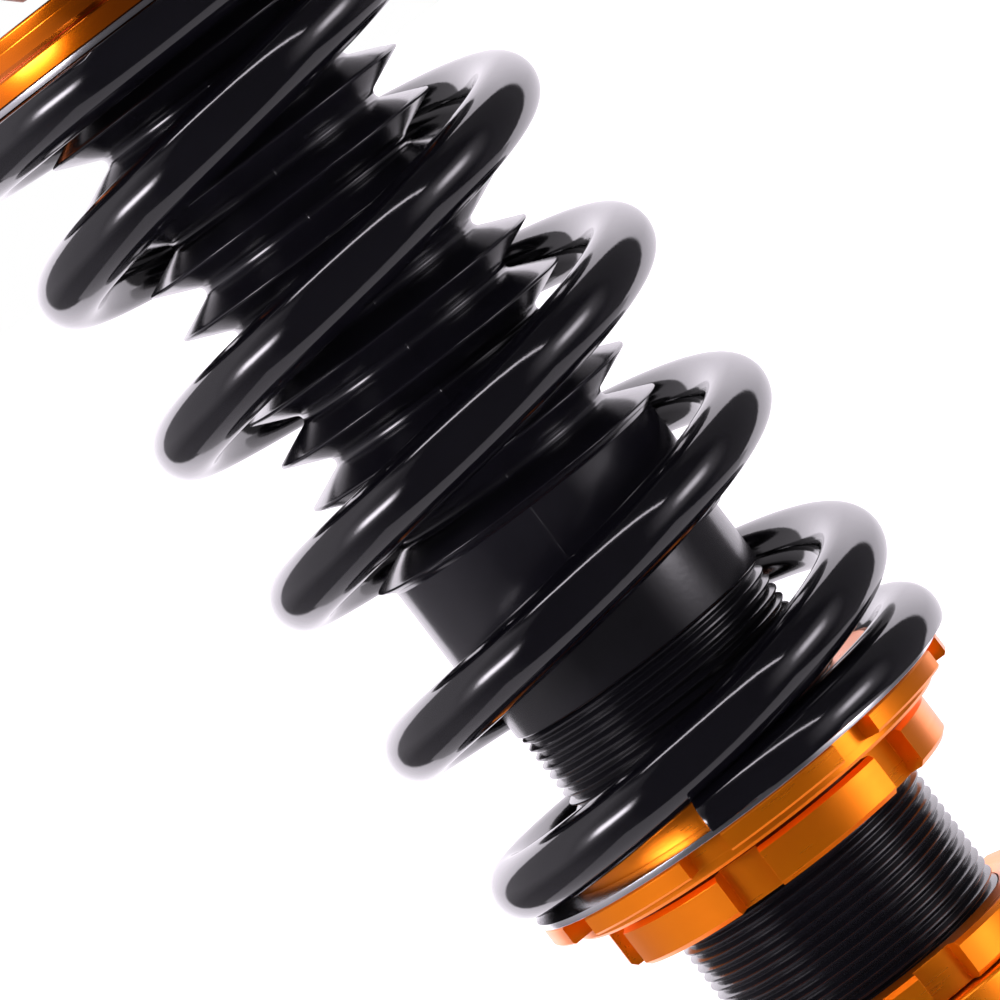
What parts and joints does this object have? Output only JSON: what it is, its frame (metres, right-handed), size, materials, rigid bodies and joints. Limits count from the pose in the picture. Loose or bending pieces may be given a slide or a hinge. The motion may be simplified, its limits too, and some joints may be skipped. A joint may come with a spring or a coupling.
{
  "type": "coilover",
  "caption": "Height-adjustable automotive coil spring and damper unit with threaded body, spring perch, lock rings, dust boot, bearing top mount and lower eye.",
  "frame": {"origin": "on the damper's axis, level with the top mount plate's upper face, which bears on the car body", "axes": "+Z along the damper axis, from the lower eye towards the top mount; +Y along the lower eye's bolt, from the front of the object to its back; +X to the right"},
  "size_m": [0.1008, 0.1038, 0.3833],
  "materials": {
    "anodised_orange": "gloss",
    "anodised_black": "satin",
    "threaded_black": "satin",
    "powder_coat_black": "gloss",
    "rubber_black": "satin",
    "polished_steel": "gloss",
    "hard_chrome": "gloss",
    "zinc_plated_steel": "satin",
    "machined_aluminium": "satin",
    "seal_rubber": "satin",
    "bearing_plastic": "matte",
    "bump_stop_urethane": "matte"
  },
  "bodies": {
    "top_mount": {"top_mount_plate": "anodised_black", "tower_stud_1": "zinc_plated_steel", "tower_stud_2": "zinc_plated_steel", "tower_stud_3": "zinc_plated_steel", "bearing_housing": "anodised_black", "bearing_race": "zinc_plated_steel", "bearing_circlip": "zinc_plated_steel", "housing_screw_1": "zinc_plated_steel", "housing_screw_2": "zinc_plated_steel", "housing_screw_3": "zinc_plated_steel", "housing_screw_4": "zinc_plated_steel"},
    "pivot_ball": {"bearing_ball": "hard_chrome"},
    "rod_assembly": {"piston_rod": "hard_chrome", "upper_spring_seat": "anodised_orange", "upper_spring_washer": "polished_steel", "lower_spacer": "zinc_plated_steel", "upper_spacer": "zinc_plated_steel", "rod_nut": "zinc_plated_steel", "shoulder_washer": "zinc_plated_steel", "bump_stop": "bump_stop_urethane", "coil_spring": "powder_coat_black", "dust_boot": "rubber_black", "rebound_stop": "machined_aluminium", "rebound_shims": "zinc_plated_steel", "piston": "machined_aluminium", "piston_band": "bearing_plastic", "compression_shims": "zinc_plated_steel", "piston_nut": "zinc_plated_steel"},
    "damping_knob": {"damping_knob": "anodised_orange", "metering_needle": "zinc_plated_steel"},
    "damper_body": {"shock_body": "threaded_black", "seal_head": "machined_aluminium", "wiper_seal": "seal_rubber", "seal_head_circlip": "zinc_plated_steel", "body_cap": "anodised_black", "base_plug": "machined_aluminium"},
    "gas_piston": {"floating_piston": "machined_aluminium", "floating_piston_ring": "seal_rubber"},
    "perch_carrier": {"lower_spring_washer": "polished_steel"},
    "perch_collar": {"spring_perch": "anodised_orange", "perch_lock_ring": "anodised_orange"},
    "lower_mount": {"lower_mount": "anodised_orange", "bush_outer_sleeve": "zinc_plated_steel", "bush_rubber": "rubber_black"},
    "lower_ring": {"lower_lock_ring": "anodised_orange"},
    "bush_sleeve": {"bush_inner_sleeve": "zinc_plated_steel"}
  },
  "joints": [
    {"name": "mount_tilt", "type": "hinge", "parent": "top_mount", "child": "pivot_ball", "pos_m": [0, 0, -0.006], "axis": [0, 1, 0], "range_deg": [-5, 5]},
    {"name": "strut_swivel", "type": "hinge", "parent": "pivot_ball", "child": "rod_assembly", "pos_m": [0, 0, -0.006], "axis": [0, 0, 1], "continuous": true},
    {"name": "damping_click", "type": "hinge", "parent": "rod_assembly", "child": "damping_knob", "pos_m": [0, 0, 0.024], "axis": [0, 0, 1], "range_deg": [0, 330]},
    {"name": "damper_stroke", "type": "slide", "parent": "rod_assembly", "child": "damper_body", "axis": [0, 0, 1], "range_m": [0, 0.05], "stiffness_N_per_m": 98000, "springref_m": -0.0083, "deforming": ["coil_spring", "dust_boot"]},
    {"name": "gas_piston_slide", "type": "slide", "parent": "damper_body", "child": "gas_piston", "axis": [0, 0, 1], "range_m": [-0.0096, 0]},
    {"name": "perch_height", "type": "slide", "parent": "damper_body", "child": "perch_carrier", "axis": [0, 0, 1], "range_m": [-0.012, 0]},
    {"name": "perch_turn", "type": "hinge", "parent": "perch_carrier", "child": "perch_collar", "pos_m": [0, 0, -0.202], "axis": [0, 0, 1], "range_deg": [-2160.1, 0.1]},
    {"name": "mount_height", "type": "slide", "parent": "damper_body", "child": "lower_mount", "axis": [0, 0, 1], "range_m": [-0.01, 0.014]},
    {"name": "lower_ring_turn", "type": "hinge", "parent": "lower_mount", "child": "lower_ring", "pos_m": [0, 0, -0.247], "axis": [0, 0, 1], "range_deg": [-1800.1, 2520.1]},
    {"name": "bush_twist", "type": "hinge", "parent": "lower_mount", "child": "bush_sleeve", "pos_m": [0, 0, -0.328], "axis": [0, 1, 0], "range_deg": [-20, 20], "stiffness_Nm_per_rad": 6}
  ],
  "couplings": [
    {"joint": "gas_piston_slide", "follows": "damper_stroke", "ratio": -0.18904},
    {"joint": "perch_turn", "follows": "perch_height", "rad_per_m": 3141.6},
    {"joint": "lower_ring_turn", "follows": "mount_height", "rad_per_m": 3141.6}
  ]
}
